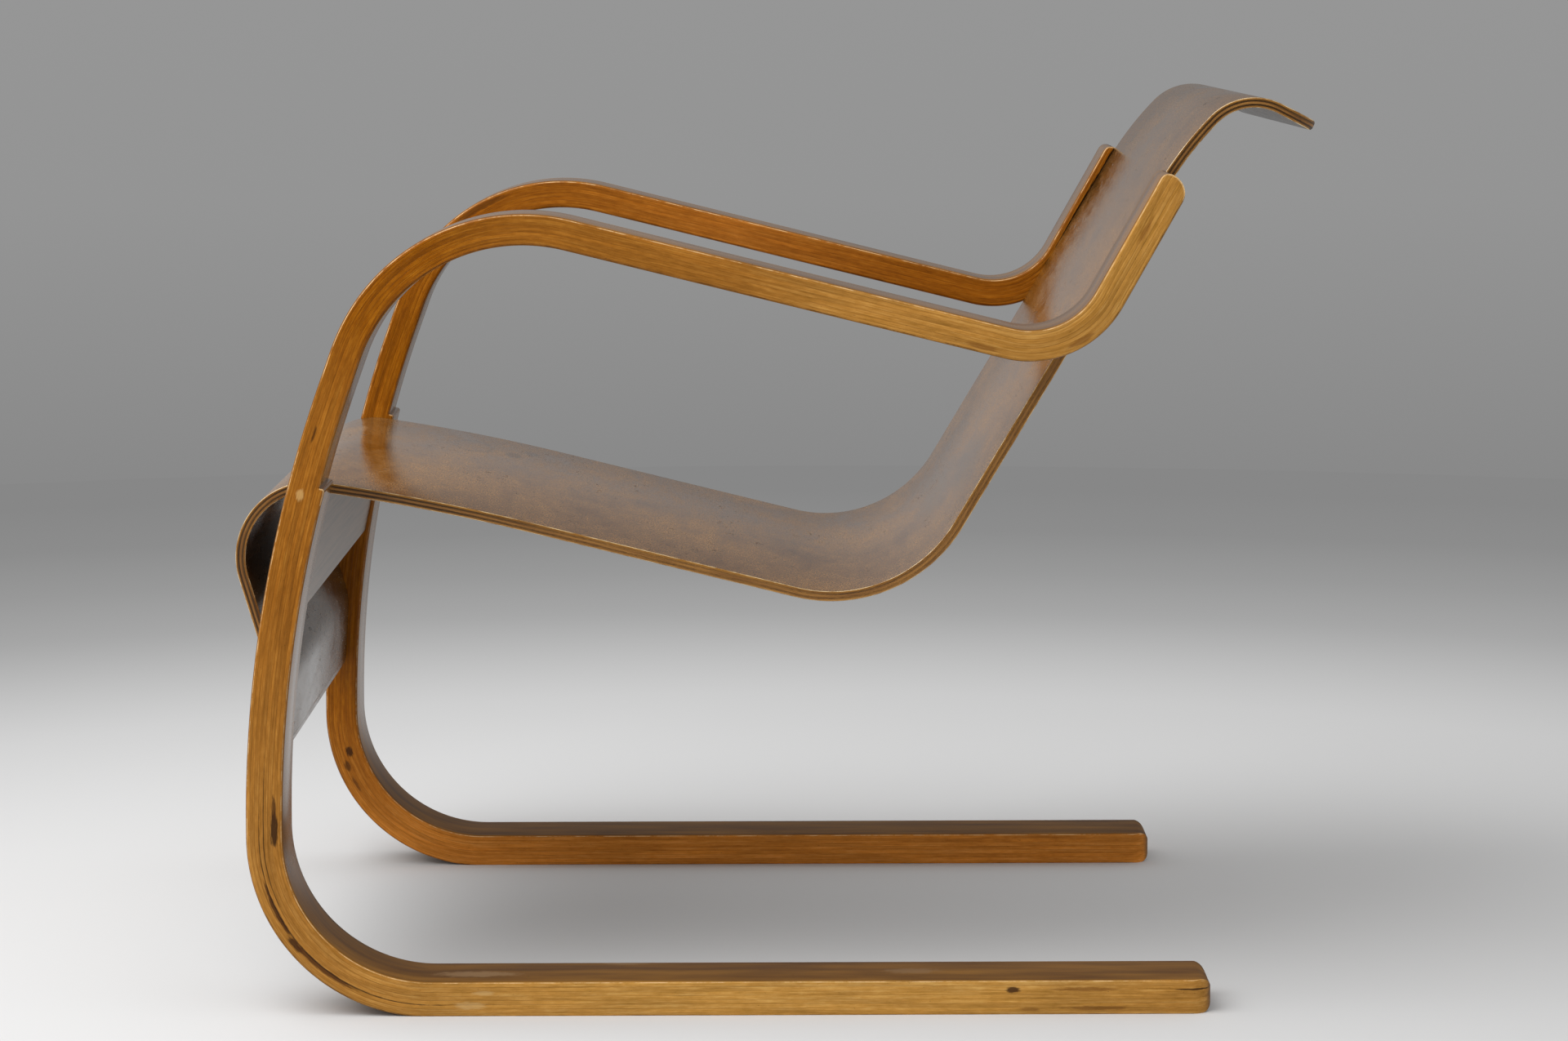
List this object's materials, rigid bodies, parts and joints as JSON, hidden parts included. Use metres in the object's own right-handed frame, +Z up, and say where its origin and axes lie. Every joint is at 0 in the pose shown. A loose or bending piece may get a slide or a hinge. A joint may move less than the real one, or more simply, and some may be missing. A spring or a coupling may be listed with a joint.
{
  "type": "cantilever lounge chair",
  "caption": "Cantilever lounge chair: two laminated birch side frames carry a one-piece moulded plywood shell that scrolls under at the front and rolls over at the top.",
  "frame": {"origin": "on the floor, midway between the side frames and midway between the front of the shell's scroll and the back of its lip", "axes": "+X towards the sitter's left, -Y towards the front, +Z up"},
  "size_m": [0.6, 0.7846, 0.6576],
  "materials": {
    "frame_birch": "satin lacquer, honey coloured",
    "shell_face": "semi-gloss stained birch veneer",
    "shell_inner_ply": "edge lacquered ply",
    "crossbar_birch": "satin lacquer",
    "screw_steel": "plain"
  },
  "bodies": {
    "root": {"left_frame_lamination_1": "frame_birch", "left_frame_lamination_2": "frame_birch", "left_frame_lamination_3": "frame_birch", "left_frame_lamination_4": "frame_birch", "left_frame_lamination_5": "frame_birch", "left_frame_lamination_6": "frame_birch", "left_frame_lamination_7": "frame_birch", "left_frame_inner_lamination": "frame_birch", "right_frame_lamination_1": "frame_birch", "right_frame_lamination_2": "frame_birch", "right_frame_lamination_3": "frame_birch", "right_frame_lamination_4": "frame_birch", "right_frame_lamination_5": "frame_birch", "right_frame_lamination_6": "frame_birch", "right_frame_lamination_7": "frame_birch", "right_frame_inner_lamination": "frame_birch", "shell_face_ply": "shell_face", "shell_front_cross_ply": "shell_inner_ply", "shell_core_ply": "shell_inner_ply", "shell_back_cross_ply": "shell_inner_ply", "shell_back_ply": "shell_face", "upper_front_crossbar": "crossbar_birch", "lower_front_crossbar": "crossbar_birch", "back_crossrail": "crossbar_birch", "upper_crossbar_dowels": "crossbar_birch", "lower_crossbar_dowels": "crossbar_birch", "back_crossrail_dowels": "crossbar_birch", "lower_crossbar_screws": "screw_steel", "back_crossrail_screws": "screw_steel"}
  },
  "joints": []
}
